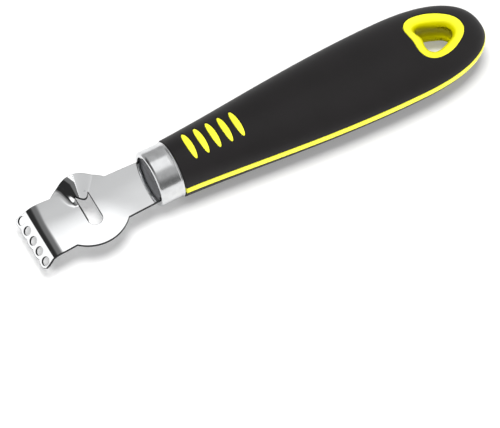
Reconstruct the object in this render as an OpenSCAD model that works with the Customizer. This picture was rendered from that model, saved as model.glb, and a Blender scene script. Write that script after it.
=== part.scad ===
// Citrus zester: a stamped steel blade with five zesting holes and a raised
// channel knife, a drawn steel ferrule, and a two-colour moulded handle.
// It lies flat: the blade points along -X, the butt along +X, the table is z = 0.

/* [Blade sheet] */
// Thickness of the steel sheet
sheet_t = 0.9; // [0.6:0.05:1.2]
// How far the sheet's mid-plane lies under the middle of the handle
sheet_drop = 0.9; // [0:0.1:1.5]
// Width of the shank where it leaves the ferrule
shank_w = 16.1; // [15.5:0.1:17.5]
// Width of the shank where it runs into the disc
root_w = 16.9; // [15.5:0.1:18]
// Radius of the round disc
disc_r = 12.8; // [11:0.1:14]
// Distance from the ferrule's mouth to the middle of the disc
disc_x = 20.8; // [18:0.2:24]
// Width of the neck where it leaves the disc
neck_w = 18.8; // [16:0.1:20]
// Distance from the ferrule's mouth to the corner where the tip bends down
corner_x = 36.8; // [34:0.2:42]

/* [Zesting tip] */
// Angle by which the tip bends down
tip_angle = 40; // [20:1:55]
// Outer radius of the bend
bend_r = 3; // [2:0.25:4]
// Width of the sheet at the bend
bend_w = 19.3; // [17:0.1:20]
// Greatest width of the tip, at the row of holes
tip_w = 20.3; // [19.7:0.1:23]
// Number of zesting holes
hole_count = 5; // [3:1:5]
// Distance between neighbouring zesting holes
hole_pitch = 4.12; // [3.6:0.05:4.2]
// Diameter of a zesting hole
hole_d = 2.9; // [2:0.1:3.2]
// Distance down the slope from the bend's corner to the row of holes
hole_row = 4.4; // [4:0.1:6]
// Metal left between a hole and the edge that its scallop follows
hole_rim = 0.75; // [0.6:0.05:1.4]
// Radius of each scallop along the end
scallop_r = 5; // [3.5:0.25:8]
// Size of the bevel that takes the corner off each end of the tip
corner_cut = 1; // [0.4:0.1:1.2]
// Width of the bevel that sharpens each hole from below
bevel = 0.35; // [0.1:0.05:0.4]

/* [Channel knife] */
// Width of the slot that takes the strip of peel
slot_w = 4.6; // [4.2:0.1:5.2]
// Distance from the ferrule's mouth to the slot's middle line
slot_x = 20.5; // [19:0.1:22]
// How far the slot's round end lies from the blade's middle line
slot_reach = 6; // [4:0.5:7.5]
// How far the ridge's two feet stand off the blade's middle line
foot_y = 5.8; // [5:0.2:7]
// How far the cutting nose reaches out from its feet
nose_reach = 2.4; // [1:0.2:3]
// Height of the ridge at the cutting nose
ridge_h_nose = 1.5; // [1:0.1:2.2]
// Height of the ridge at the disc's rim
ridge_h_rim = 2.3; // [1.8:0.1:3.5]
// How far the crest leans towards the tip between the nose and the rim
crest_shift = 1.7; // [0.5:0.1:2.2]
// Spread of the steep flank at the rim, on the tip's side of the crest
steep_w = 4.2; // [3:0.1:4.9]
// Spread of the gentle flank at the rim, on the handle's side of the crest
gentle_w = 10; // [6:0.1:11.5]
// Roundness of the ridge: 2 is a cosine wave, less is fuller
ridge_round = 1.6; // [1.3:0.1:2]

/* [Tang] */
// Width of the tang inside the ferrule
tang_w = 14.4; // [12:0.2:14.6]
// Width of the tang inside the handle
tail_w = 10; // [6:0.5:11]
// How far the tang reaches behind the ferrule
tail_l = 24; // [12:1:40]

/* [Ferrule] */
// Outside diameter of the ferrule
ferrule_d = 18.4; // [17.8:0.1:18.6]
// Length of the ferrule
ferrule_l = 8.3; // [6:0.1:12]
// Wall of the ferrule
ferrule_wall = 0.8; // [0.6:0.1:1]
// Diameter of the mouth
mouth_d = 15.2; // [15:0.1:15.6]
// Radius of the rolled front edge
lip_r = 1.2; // [1.1:0.1:1.3]
// Radius of the bead round the rear edge
bead_r = 0.45; // [0.3:0.05:0.6]
// How far the bead stands out of the wall
bead_h = 0.15; // [0.05:0.05:0.18]
// Length of the filler behind the mouth
plug_l = 2.6; // [1.5:0.1:4]

/* [Handle] */
// Length of the handle behind the ferrule
handle_l = 114.3; // [100:0.1:130]
// Width of the handle at the ferrule
front_w = 19.4; // [19:0.2:22]
// Greatest width of the handle
handle_w = 31.5; // [27:0.5:36]
// Thickness of the handle at the ferrule
handle_t = 18.8; // [18.8:0.2:21]
// How much thinner the handle is behind the thumb ovals
slimming = 1.3; // [0:0.1:1.6]
// Distance from the handle's front to where it has slimmed and squared off
settle_x = 32; // [20:1:45]
// Length of the rounded butt, behind the widest place
butt_l = 32; // [24:1:40]
// Length over which the handle thins towards the butt
thin_l = 43; // [36:1:52]
// How late the flanks flare out: 1 is a plain sine curve
flare = 1.25; // [1:0.05:1.6]
// Squareness of the handle's section: 2 is an ellipse
squareness = 2.15; // [2:0.05:2.5]
// Fullness of the rounded butt: 2 is an ellipse
butt_fullness = 2.38; // [2:0.02:2.6]
// Thickness of the soft grip
grip_t = 1.6; // [1.2:0.1:2]
// Width of the stripe between the two grips
stripe_w = 2.6; // [1.6:0.1:3.2]

/* [Thumb ovals] */
// Number of ovals on each face
oval_count = 5; // [3:1:7]
// Distance from the front of the handle to the first oval
oval_x = 6.3; // [5:0.1:10]
// Distance between neighbouring ovals
oval_pitch = 4.2; // [3.4:0.1:6]
// Length of an oval, across the handle
oval_l = 10; // [7:0.2:12]
// Width of an oval, along the handle
oval_w = 2.1; // [1.6:0.1:2.8]
// How far ovals, hole rim and stripe lie under the grip's surface
inlay_drop = 0.1; // [0:0.05:0.3]

/* [Hanging hole] */
// Distance from the hole's middle to the end of the butt
hang_x = 18; // [16:0.2:22]
// Mean radius of the rim's outline
hang_r = 9.3; // [8:0.1:9.8]
// How much the outline is longer than it is wide
hang_stretch = 0.35; // [0:0.05:0.5]
// How far its three lobes stand out
hang_lobe = 0.9; // [0.4:0.05:1]
// Depth of the dent that faces the blade
hang_dent = 0.2; // [0:0.05:0.25]
// Width of the rounded rim round the hole
hang_rim = 3.8; // [2.6:0.1:4.4]
// How far that rim rolls down into the hole
hang_roll = 2.6; // [1.6:0.1:3]

/* [Fits] */
// Gap between metal and the parts that hold it
fit = 0.05; // [0.02:0.01:0.1]
// Gap between the soft grip and the hard core
skin_gap = 0.1; // [0.06:0.01:0.15]

/* [Hidden] */
$fn = 64;
STEEL = [0.80, 0.81, 0.82];
GREEN = [0.98, 0.98, 0.28];
SOFT_BLACK = [0.17, 0.17, 0.18];
DARK_PLASTIC = [0.33, 0.33, 0.34];
// Small overlap that lets one cut run clear through another face
over = 0.5;
// Rings along the handle, and steps round half of its section
rings = 36;
half_steps = 18;
// Height of the grip's closed end, over the height of its edge at the stripe
end_lift = 1.06;
// Steps round the hanging hole and across its rounded rim
hang_steps = 44;
rim_steps = 4;
// Steps of the ridge, across and along
ridge_cross = 20;
ridge_along = 8;

sheet_top = -sheet_drop + sheet_t / 2;
sheet_bottom = -sheet_drop - sheet_t / 2;
// From the bend's corner to where the sheet turns straight again
bend_run = bend_r * tan(tip_angle / 2);
tip_l = hole_row + hole_d / 2 + hole_rim;
ferrule_r = ferrule_d / 2;
bore_r = ferrule_r - ferrule_wall;
plug_x = lip_r + fit;
spigot_x = plug_x + plug_l + fit;
handle_x = ferrule_l + fit;
wide_x = handle_l - butt_l;
thin_x = handle_l - thin_l;
half_t = handle_t / 2;
slim_t = half_t - slimming / 2;
half_stripe = stripe_w / 2;
hang_mid = handle_l - hang_x;
// The blade's tip and the handle's end, measured from the ferrule's mouth
tip_end = -corner_x - tip_l * cos(tip_angle);
butt_end = handle_x + handle_l;

// Half of the handle's width at x behind its front, before the butt closes it
function flank(x) =
    front_w / 2 + (handle_w - front_w) / 2 * pow(sin(90 * min(x / wide_x, 1)), flare);
// A rounded end: 1 up to x = a, then closing to 0 at x = b
function closing(x, a, b) =
    x <= a ? 1 : pow(max(1 - pow((x - a) / (b - a), butt_fullness), 0), 1 / butt_fullness);
// Half width and half thickness of the handle with a skin of that thickness taken off
function half_width(x, skin) = (flank(x) - skin) * closing(x, wide_x, handle_l - skin);
function half_depth(x, skin) =
    (slim_t + (half_t - slim_t) * (1 + cos(180 * min(x / settle_x, 1))) / 2 - skin)
    * closing(x, thin_x, handle_l - skin);
// Squareness of the section: round at the ferrule, fuller behind it
function section_power(x) = 2 + (squareness - 2) * min(x / settle_x, 1);
// Height of the handle's upper face over the parting plane at (x, y)
function face_z(x, y, skin) =
    half_depth(x, skin)
    * pow(max(1 - pow(min(abs(y) / half_width(x, skin), 1), section_power(x)), 0), 1 / section_power(x));
// Where the skinned body is no thicker than the given height above the parting plane
function reach_at(height, skin) =
    let (q = height / (slim_t - skin))
    thin_x + (handle_l - skin - thin_x) * pow(1 - pow(q, butt_fullness), 1 / butt_fullness);
// A point of the section's outline: a is the angle, n the squareness
function on_section(w, t, a, n) =
    [w * sign(cos(a)) * pow(abs(cos(a)), 2 / n), t * sign(sin(a)) * pow(abs(sin(a)), 2 / n)];
// Quads between ring i and ring i + 1, each of n points that close on themselves
function tube_faces(count, n) =
    [for (i = [0 : count - 2], j = [0 : n - 1])
        [i * n + j, i * n + (j + 1) % n, (i + 1) * n + (j + 1) % n, (i + 1) * n + j]];
// The hanging hole's outline: a rounded triangle, its dent towards the blade
function hang_outline(a) =
    hang_r + hang_stretch * cos(2 * a) + hang_lobe * cos(3 * a)
    + hang_dent * (cos(5 * a) - cos(4 * a));
function polar(r, a, x) = [x + r * cos(a), r * sin(a)];

// The whole handle's rounded body, with a skin of that thickness taken off
module handle_body(skin) {
    n = 2 * half_steps;
    reach = handle_l - skin;
    xs = [for (i = [0 : rings - 1]) reach * sin(90 * (i / (rings - 0.5)))];
    points = [for (x = xs, j = [0 : n - 1])
        let (p = on_section(half_width(x, skin), half_depth(x, skin), 360 * j / n, section_power(x)))
        [x, p[0], p[1]]];
    front = [for (j = [0 : n - 1]) j];
    back = [for (j = [n - 1 : -1 : 0]) (rings - 1) * n + j];
    polyhedron(points, concat([front], [for (f = tube_faces(rings, n)) [f[3], f[2], f[1], f[0]]], [back]));
}

// Half of the handle's outer skin: a bowl from the stripe's edge over the top
module grip_shell() {
    base = half_stripe + skin_gap;
    m = half_steps;
    function arc_point(s, j, skin) =
        let (
            x = s * reach_at(base * end_lift, skin),
            w = half_width(x, skin),
            t = half_depth(x, skin),
            n = section_power(x),
            a0 = asin(pow(base / t, n / 2)),
            p = on_section(w, t, a0 + (180 - 2 * a0) * j / m, n)
        )
        [x, p[0], max(p[1], base)];
    ss = [for (i = [0 : rings - 1]) sin(90 * (i / (rings - 1)))];
    outer = [for (s = ss, j = [0 : m]) arc_point(s, j, 0)];
    inner = [for (s = ss, j = [0 : m]) arc_point(s, j, grip_t)];
    row = m + 1;
    inside = rings * row;
    last = (rings - 1) * row;
    skin_faces = [for (i = [0 : rings - 2], j = [0 : m - 1])
        [i * row + j, (i + 1) * row + j, (i + 1) * row + j + 1, i * row + j + 1]];
    core_faces = [for (f = skin_faces) [f[3] + inside, f[2] + inside, f[1] + inside, f[0] + inside]];
    near_edge = [for (i = [0 : rings - 2])
        [i * row, i * row + inside, (i + 1) * row + inside, (i + 1) * row]];
    far_edge = [for (i = [0 : rings - 2])
        [i * row + m, (i + 1) * row + m, (i + 1) * row + m + inside, i * row + m + inside]];
    front = [for (j = [0 : m - 1]) [j, j + 1, j + 1 + inside, j + inside]];
    outer_end = [[for (j = [0 : m]) last + j]];
    inner_end = [[for (j = [m : -1 : 0]) last + inside + j]];
    sole = [[last, last + inside, last + inside + m, last + m]];
    polyhedron(
        concat(outer, inner),
        concat(skin_faces, core_faces, near_edge, far_edge, front, outer_end, inner_end, sole)
    );
}

// Outline of one thumb oval, grown by the given margin
module oval(margin) {
    steps = 32;
    polygon([for (j = [0 : steps - 1])
        [(oval_w / 2 + margin) * cos(360 * j / steps), (oval_l / 2 + margin) * sin(360 * j / steps)]]);
}

// Outline of the hanging hole's rim, grown by the given margin
module hang_shape(margin) {
    polygon([for (j = [0 : hang_steps - 1])
        let (a = 360 * j / hang_steps)
        polar(hang_outline(a) + margin, a, 0)]);
}

// One oval inlay, from the upper face through the core to the lower one
module oval_inlay(x) {
    steps = 24;
    function face(side) =
        [for (k = [0.5, 1], j = [0 : steps - 1])
            let (
                px = x + k * oval_w / 2 * cos(360 * j / steps),
                py = k * oval_l / 2 * sin(360 * j / steps)
            )
            [px, py, side * face_z(px, py, inlay_drop)]];
    crown = [x, 0, face_z(x, 0, inlay_drop)];
    lower = 2 * steps;
    top_fan = [for (j = [0 : steps - 1]) [4 * steps, (j + 1) % steps, j]];
    bottom_fan = [for (j = [0 : steps - 1]) [4 * steps + 1, lower + j, lower + (j + 1) % steps]];
    top_ring = [for (j = [0 : steps - 1]) [j, (j + 1) % steps, steps + (j + 1) % steps, steps + j]];
    bottom_ring = [for (f = top_ring) [f[3] + lower, f[2] + lower, f[1] + lower, f[0] + lower]];
    wall = [for (j = [0 : steps - 1])
        [steps + j, steps + (j + 1) % steps, lower + steps + (j + 1) % steps, lower + steps + j]];
    polyhedron(
        concat(face(1), face(-1), [crown, [x, 0, -crown[2]]]),
        concat(top_fan, bottom_fan, top_ring, bottom_ring, wall)
    );
}

// The lining of the hanging hole, with its rim rounded over on both faces
module hang_lining() {
    function cut(a) =
        let (
            r = hang_outline(a),
            edge = polar(r, a, hang_mid),
            z = face_z(edge[0], edge[1], inlay_drop),
            upper = [for (k = [0 : rim_steps])
                let (b = 90 * k / rim_steps)
                concat(polar(r - hang_rim * sin(b), a, hang_mid), [z - hang_roll * (1 - cos(b))])]
        )
        concat(upper, [for (k = [rim_steps : -1 : 0]) [upper[k][0], upper[k][1], -upper[k][2]]]);
    n = 2 * (rim_steps + 1);
    points = [for (j = [0 : hang_steps - 1]) each cut(360 * j / hang_steps)];
    faces = [for (j = [0 : hang_steps - 1], k = [0 : n - 1])
        let (here = j * n, next = ((j + 1) % hang_steps) * n)
        [here + k, here + (k + 1) % n, next + (k + 1) % n, next + k]];
    polyhedron(points, faces);
}

// The stripe that shows between the grips, all round the handle
module stripe() {
    xs = [for (i = [0 : rings]) handle_l * sin(90 * (i / rings))];
    side = [for (x = xs) [x, max(half_width(x, inlay_drop), 0)]];
    outline = concat([for (p = side) if (p[1] > 0) p], [for (i = [rings : -1 : 0])
        if (side[i][1] > 0) [side[i][0], -side[i][1]]]);
    translate([0, 0, -half_stripe]) linear_extrude(stripe_w) polygon(outline);
}

// A flat bar along X for the tang or its pocket, grown by the given margin
module tang_bar(x0, x1, w, margin) {
    translate([x0, -w / 2 - margin, sheet_bottom - margin])
        cube([x1 - x0, w + 2 * margin, sheet_t + 2 * margin]);
}

// Plan of the ridge: u goes across it from -1 to 1, v along it from nose to rim
function ridge_plan(u, v) =
    let (
        rim_y = disc_r + over,
        y = foot_y - nose_reach * (1 - u * u) * (1 - v) + (rim_y - foot_y) * v,
        crest = -slot_x - crest_shift * v,
        foot_nose = -slot_x + sign(u) * slot_w / 2,
        foot_rim = -slot_x - crest_shift + (u < 0 ? -steep_w : gentle_w),
        foot = foot_nose + (foot_rim - foot_nose) * max(y - foot_y, 0) / (rim_y - foot_y)
    )
    [crest + abs(u) * (foot - crest), y];
function ridge_lift(u, v) =
    (ridge_h_nose + (ridge_h_rim - ridge_h_nose) * v) * pow(max(cos(90 * u), 0), ridge_round);

// The raised channel of the knife, as a sheet that follows the ridge
module ridge() {
    nu = ridge_cross;
    nv = ridge_along;
    function sheet(z) =
        [for (i = [0 : nv], j = [0 : nu])
            let (u = 2 * j / nu - 1, v = i / nv)
            concat(ridge_plan(u, v), [z + ridge_lift(u, v)])];
    row = nu + 1;
    under = (nv + 1) * row;
    top = [for (i = [0 : nv - 1], j = [0 : nu - 1])
        [i * row + j, (i + 1) * row + j, (i + 1) * row + j + 1, i * row + j + 1]];
    bottom = [for (f = top) [f[3] + under, f[2] + under, f[1] + under, f[0] + under]];
    nose = [for (j = [0 : nu - 1]) [j, j + 1, j + 1 + under, j + under]];
    rim = [for (j = [0 : nu - 1])
        let (k = nv * row + j)
        [k, k + under, k + 1 + under, k + 1]];
    left = [for (i = [0 : nv - 1])
        [i * row, i * row + under, (i + 1) * row + under, (i + 1) * row]];
    right = [for (i = [0 : nv - 1])
        let (k = i * row + nu)
        [k, k + row, k + row + under, k + under]];
    polyhedron(concat(sheet(sheet_top), sheet(sheet_bottom)), concat(top, bottom, nose, rim, left, right));
}

// Flat outline of shank, disc and neck, with the slot and the ridge's window cut out
module flat_blank() {
    neck_end = -corner_x + bend_run;
    neck_x = -disc_x - sqrt(pow(disc_r, 2) - pow(neck_w / 2, 2));
    root_x = -disc_x + sqrt(pow(disc_r, 2) - pow(root_w / 2, 2));
    side = [[-fit, shank_w / 2], [root_x, root_w / 2], [neck_x, neck_w / 2], [neck_end, bend_w / 2]];
    difference() {
        union() {
            translate([-disc_x, 0]) circle(disc_r);
            polygon(concat(side, [for (i = [len(side) - 1 : -1 : 0]) [side[i][0], -side[i][1]]]));
        }
        translate([-slot_x, slot_w / 2 - slot_reach]) circle(slot_w / 2);
        translate([-slot_x - slot_w / 2, slot_w / 2 - slot_reach])
            square([slot_w, foot_y + slot_reach - slot_w / 2]);
        polygon([ridge_plan(-1, 0), ridge_plan(1, 0), ridge_plan(1, 1), ridge_plan(-1, 1)]);
    }
}

// Outline of the tip on its slope, with one scallop for each hole
module tip_blank() {
    straight = tip_l - (scallop_r - sqrt(pow(scallop_r, 2) - pow(hole_pitch / 2, 2)));
    side = [[bend_r, bend_w / 2], [-bend_run, bend_w / 2], [-hole_row, tip_w / 2],
        [corner_cut - tip_l, tip_w / 2], [-tip_l, tip_w / 2 - corner_cut]];
    intersection() {
        polygon(concat(side, [for (i = [len(side) - 1 : -1 : 0]) [side[i][0], -side[i][1]]]));
        union() {
            translate([-straight, -tip_w / 2]) square([straight + bend_r, tip_w]);
            for (i = [0 : hole_count - 1])
                translate([scallop_r - tip_l, hole_y(i)]) circle(scallop_r);
        }
    }
}

function hole_y(i) = (i - (hole_count - 1) / 2) * hole_pitch;

// Side view of the bend and the slope, seen along the slope: the bend's corner is at 0
module tip_profile() {
    reach = 2 * bend_r;
    difference() {
        union() {
            translate([-tip_l, -bend_r]) square([tip_l - bend_run, bend_r]);
            translate([-bend_run, -bend_r]) circle(bend_r);
        }
        translate([-tip_l - over, -reach]) square([tip_l + over - bend_run, reach - sheet_t]);
        translate([-bend_run, -bend_r]) circle(bend_r - sheet_t);
        translate([-bend_run, -bend_r])
            polygon([[0, 0], reach * [sin(tip_angle), cos(tip_angle)], [reach, -reach], [0, -reach]]);
    }
}

module blade() {
    color(STEEL) union() {
        translate([0, 0, sheet_bottom]) linear_extrude(sheet_t) flat_blank();
        tang_bar(-fit, spigot_x, tang_w, 0);
        tang_bar(spigot_x, ferrule_l + tail_l, tail_w, 0);
        intersection() {
            ridge();
            translate([-disc_x, 0, sheet_bottom - over]) cylinder(r = disc_r, h = sheet_t + ridge_h_rim + 2 * over);
        }
        translate([-corner_x, 0, sheet_top]) rotate([0, -tip_angle, 0]) difference() {
            intersection() {
                translate([0, tip_w, 0]) rotate([90, 0, 0]) linear_extrude(2 * tip_w) tip_profile();
                translate([0, 0, -bend_r - over]) linear_extrude(bend_r + 2 * over) tip_blank();
            }
            for (i = [0 : hole_count - 1]) translate([-hole_row, hole_y(i), -sheet_t]) {
                translate([0, 0, -over]) cylinder(d = hole_d, h = sheet_t + 2 * over);
                translate([0, 0, -bevel]) cylinder(d1 = hole_d + 4 * bevel, d2 = hole_d, h = 2 * bevel);
            }
        }
    }
}

// Half section of a cup with a rounded front corner: x is the radius, y runs back
module cup_section(r, corner, start) {
    translate([0, corner + start]) square([r, ferrule_l - corner - start]);
    translate([0, start]) square([r - corner, corner + over]);
    translate([r - corner, corner + start]) circle(corner);
}

module ferrule() {
    color(STEEL) rotate([0, 90, 0]) rotate_extrude() {
        difference() {
            cup_section(ferrule_r, lip_r, 0);
            cup_section(bore_r, lip_r - ferrule_wall, ferrule_wall);
            translate([0, -over]) square([mouth_d / 2, ferrule_wall + 2 * over]);
            translate([0, ferrule_l - over]) square([bore_r, 2 * over]);
        }
        translate([ferrule_r + bead_h - bead_r, ferrule_l - bead_r]) circle(bead_r);
    }
}

module tang_plug() {
    color(DARK_PLASTIC) difference() {
        translate([plug_x, 0, 0]) rotate([0, 90, 0]) cylinder(r = bore_r - fit, h = plug_l);
        tang_bar(0, ferrule_l, tang_w, fit);
    }
}

module core() {
    color(GREEN) difference() {
        union() {
            translate([spigot_x, 0, 0]) rotate([0, 90, 0]) cylinder(r = bore_r - fit, h = handle_x - spigot_x);
            translate([handle_x, 0, 0]) {
                difference() {
                    union() {
                        handle_body(grip_t + skin_gap);
                        stripe();
                    }
                    translate([hang_mid, 0, -handle_t]) linear_extrude(2 * handle_t)
                        hang_shape(-hang_rim / 2);
                }
                hang_lining();
                for (i = [0 : oval_count - 1]) oval_inlay(oval_x + i * oval_pitch);
            }
        }
        tang_bar(spigot_x - over, ferrule_l + tail_l + fit, tail_w, fit);
    }
}

// One soft grip, with windows for the ovals and the hanging hole
module grip() {
    difference() {
        grip_shell();
        for (i = [0 : oval_count - 1])
            translate([oval_x + i * oval_pitch, 0, 0]) linear_extrude(handle_t) oval(skin_gap);
        translate([hang_mid, 0, 0]) linear_extrude(handle_t) hang_shape(skin_gap);
    }
}

module grip_top() {
    color(SOFT_BLACK) translate([handle_x, 0, 0]) grip();
}

module grip_bottom() {
    color(SOFT_BLACK) translate([handle_x, 0, 0]) mirror([0, 0, 1]) grip();
}

// Moves the tool from the ferrule's mouth to the middle of its footprint on the table
module lay_down() {
    translate([-(butt_end + tip_end) / 2, 0, half_t]) children();
}

lay_down() blade();
lay_down() ferrule();
lay_down() tang_plug();
lay_down() core();
lay_down() grip_top();
lay_down() grip_bottom();
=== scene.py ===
import bpy
import math
import numpy as np
from functools import partial
from mathutils import Matrix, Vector
from mathutils.geometry import delaunay_2d_cdt


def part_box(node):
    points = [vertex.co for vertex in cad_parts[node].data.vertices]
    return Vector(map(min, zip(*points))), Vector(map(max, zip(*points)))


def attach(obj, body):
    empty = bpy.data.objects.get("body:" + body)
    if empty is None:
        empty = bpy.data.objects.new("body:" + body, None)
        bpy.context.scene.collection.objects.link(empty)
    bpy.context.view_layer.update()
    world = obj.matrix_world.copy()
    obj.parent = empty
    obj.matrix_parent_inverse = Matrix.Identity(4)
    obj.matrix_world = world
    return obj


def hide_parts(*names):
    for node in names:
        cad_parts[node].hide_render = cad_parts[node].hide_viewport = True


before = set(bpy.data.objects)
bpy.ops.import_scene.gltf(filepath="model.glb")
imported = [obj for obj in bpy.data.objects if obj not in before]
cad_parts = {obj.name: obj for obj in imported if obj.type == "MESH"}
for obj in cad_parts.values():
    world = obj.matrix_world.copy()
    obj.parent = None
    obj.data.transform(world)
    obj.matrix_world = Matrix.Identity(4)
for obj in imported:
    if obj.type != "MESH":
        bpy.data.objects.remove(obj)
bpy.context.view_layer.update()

# Blade
# One piece of 0.9 mm stainless sheet, blanked, bent down at the tip and pressed up into a channel
# knife beside its slot, then mirror-polished. Its tang is held in the ferrule and the handle.
# All sizes are millimetres: x runs back from the ferrule's mouth, z up from the parting plane.
sheet_t = 0.9
sheet_top = -0.45
shank_w = 16.1
root_w = 16.9
disc_r = 12.8
disc_x = 20.8
neck_w = 18.8
corner_x = 36.8
tip_angle = math.radians(40)
bend_w = 19.3
bend_l = 5.0
bend_ease = 1.7
tip_w = 20.3
hole_count = 5
hole_pitch = 4.12
hole_r = 1.45
hole_row = 4.4
hole_rim = 0.75
scallop_r = 5.0
end_scallop = 12.0
corner_cut = 1.0
bevel = 0.18
slot_w = 4.6
slot_x = 20.5
slot_reach = 6.0
foot_y = 5.8
nose_reach = 2.4
rim_y = disc_r + 0.5
ridge_h_nose = 1.5
ridge_h_rim = 2.25
crest_nose = -21.9
crest_rim = -20.0
steep_foot_nose = -25.7
steep_foot_rim = -31.6
gentle_foot_rim = -12.2
crown_r = 350.0
tang_w = 14.4
tail_w = 10.0
tang_steps = [0.0, 3.95, 32.3]
edge_r = 0.14
outline_step = 0.3
bend_parts = 200

ferrule_low, ferrule_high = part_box("ferrule")
mouth = np.array([ferrule_low.x, 0.0, (ferrule_low.z + ferrule_high.z) / 2])


def make_piece(name, points, faces, normals=None):
    """A smooth mesh of points (tool millimetres) and faces, in the part's frame and in metres."""
    mesh = bpy.data.meshes.new(name)
    mesh.from_pydata((mouth + 0.001 * points).tolist(), [], faces)
    mesh.polygons.foreach_set("use_smooth", np.ones(len(mesh.polygons), bool))
    if normals is not None:
        mesh.normals_split_custom_set_from_vertices(normals.tolist())
    piece = bpy.data.objects.new(name, mesh)
    bpy.context.scene.collection.objects.link(piece)
    return piece


def divide(corners, step):
    """Closed outline through the corners, each side cut into equal parts no longer than step."""
    ends = np.roll(corners, -1, axis=0)
    parts = [np.linspace(a, b, max(int(np.ceil(np.hypot(*(b - a)) / step)), 1), endpoint=False)
             for a, b in zip(corners, ends)]
    return np.concatenate(parts)


def inset(loop, distance):
    """Moves each point of a closed loop to its left by the distance, along the mean normal."""
    side = np.roll(loop, -1, axis=0) - loop
    side /= np.maximum(np.hypot(side[:, 0], side[:, 1]), 1e-9)[:, None]
    left = np.stack([-side[:, 1], side[:, 0]], 1)
    mean = left + np.roll(left, 1, axis=0)
    mean /= np.maximum(np.hypot(mean[:, 0], mean[:, 1]), 1e-9)[:, None]
    return loop + distance * mean


def plane_grid(x, y):
    """Every pair of an x and a y, as rows of points."""
    return np.stack(np.meshgrid(x, y), -1).reshape(-1, 2)


def arc(x, y, r, start, end, count):
    """Points on a circle's arc between two angles in degrees."""
    a = np.radians(np.linspace(start, end, count))
    return np.stack([x + r * np.cos(a), y + r * np.sin(a)], 1)


def inside(points, loop):
    """True where a point lies in the loop: a ray from it crosses an odd number of sides."""
    x, y = points[:, 0, None], points[:, 1, None]
    a, b = loop, np.roll(loop, -1, axis=0)
    spans = (a[:, 1] > y) != (b[:, 1] > y)
    rise = np.where(b[:, 1] == a[:, 1], 1e-12, b[:, 1] - a[:, 1])
    return (spans & (x < (b[:, 0] - a[:, 0]) * (y - a[:, 1]) / rise + a[:, 0])).sum(1) % 2 == 1


def surface_normals(surface, q, step=0.01):
    """Unit normal of a surface at q: the cross product of its central differences."""
    du = surface(q + [step, 0]) - surface(q - [step, 0])
    dv = surface(q + [0, step]) - surface(q - [0, step])
    n = np.cross(du, dv)
    return n / np.maximum(np.linalg.norm(n, axis=1), 1e-12)[:, None]


# A grid point nearer to a rim than this would make slivers, so it is left out
rim_clearance = 0.12


def shell(rims, grid, outer, inner):
    """Closed shell between two surfaces over one flat domain.

    A rim is a list of (loop, depth) from the face's edge to the back's edge, with the domain on
    its left; the first rim is the outline, the others are windows. The face is a Delaunay
    triangulation of the grid and the rims' first loops, and the back repeats it. Each loop
    between a rim's ends lies at its depth on the line from the outer to the inner surface.
    """
    firsts = [rim[0][0] for rim in rims]
    clear = inside(grid, firsts[0])
    for loop in firsts[1:]:
        clear &= ~inside(grid, loop)
    grid = grid[clear]
    rim_points = np.concatenate(firsts)
    dx, dy = (rim_points[None] - grid[:, None]).transpose(2, 0, 1)
    grid = grid[np.hypot(dx, dy).min(1) > rim_clearance]
    q = np.concatenate(firsts + [grid])
    edges, start = [], 0
    for loop in firsts:
        ids = start + np.arange(len(loop))
        edges += np.stack([ids, np.roll(ids, -1)], 1).tolist()
        start += len(loop)
    _, _, faces, origin, _, _ = delaunay_2d_cdt(q.tolist(), edges, [], 0, 1e-7)
    first_origin = np.array([ids[0] for ids in origin])
    tris = first_origin[np.array(faces)]
    middle = q[tris].mean(1)
    keep = inside(middle, firsts[0])
    for loop in firsts[1:]:
        keep &= ~inside(middle, loop)
    tris = tris[keep]
    spin = np.cross(q[tris[:, 1]] - q[tris[:, 0]], q[tris[:, 2]] - q[tris[:, 0]])
    tris = np.where(spin[:, None] > 0, tris, tris[:, ::-1])
    lasts = np.concatenate([rim[-1][0] for rim in rims] + [grid])
    points = [outer(q), inner(lasts)]
    walls, start, total = [], 0, 2 * len(q)
    for rim in rims:
        n = len(rim[0][0])
        rows = [start + np.arange(n)]
        for loop, depth in rim[1:-1]:
            top, low = outer(loop), inner(loop)
            down = low - top
            down /= np.maximum(np.linalg.norm(down, axis=1), 1e-9)[:, None]
            points.append(top + depth * down)
            rows.append(total + np.arange(n))
            total += n
        rows.append(len(q) + start + np.arange(n))
        for a, b in zip(rows, rows[1:]):
            walls.append(np.stack([a, b, np.roll(b, -1), np.roll(a, -1)], 1))
        start += n
    points = np.concatenate(points)
    walls = np.concatenate(walls)
    corners = points[walls]
    area = np.cross(corners[:, 2] - corners[:, 0], corners[:, 3] - corners[:, 1])
    normals = np.zeros_like(points)
    for k in range(4):
        np.add.at(normals, walls[:, k], area)
    normals[:len(q)] = surface_normals(outer, q)
    normals[len(q):2 * len(q)] = -surface_normals(inner, lasts)
    normals /= np.maximum(np.linalg.norm(normals, axis=1), 1e-12)[:, None]
    faces = tris.tolist() + (tris[:, ::-1] + len(q)).tolist() + walls.tolist()
    return points, faces, normals


# The bend's tilt grows as a power of the way along it, so it starts softly and ends tight. Its
# run and drop are the running sums of the cosines and sines of the tilt.
bend_way = np.linspace(0, 1, bend_parts + 1)
bend_tilt = tip_angle * bend_way ** bend_ease
mid_tilt = (bend_tilt[1:] + bend_tilt[:-1]) / 2
bend_dx = np.concatenate([[0], np.cumsum(np.cos(mid_tilt))]) * bend_l / bend_parts
bend_dz = np.concatenate([[0], np.cumsum(np.sin(mid_tilt))]) * bend_l / bend_parts
bend_start = -corner_x + bend_dx[-1] - bend_dz[-1] / math.tan(tip_angle)
bend_run = bend_dz[-1] / math.sin(tip_angle)


def unrolled(s):
    """Place along the unrolled sheet of a point at distance s down the slope from the corner."""
    return bend_start - bend_l - (s - bend_run)


def step_up(value, low, high):
    """Smooth step: 0 below low, 1 above high, three t squared less two t cubed between them."""
    t = np.clip((value - low) / (high - low), 0, 1)
    return t * t * (3 - 2 * t)


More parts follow.
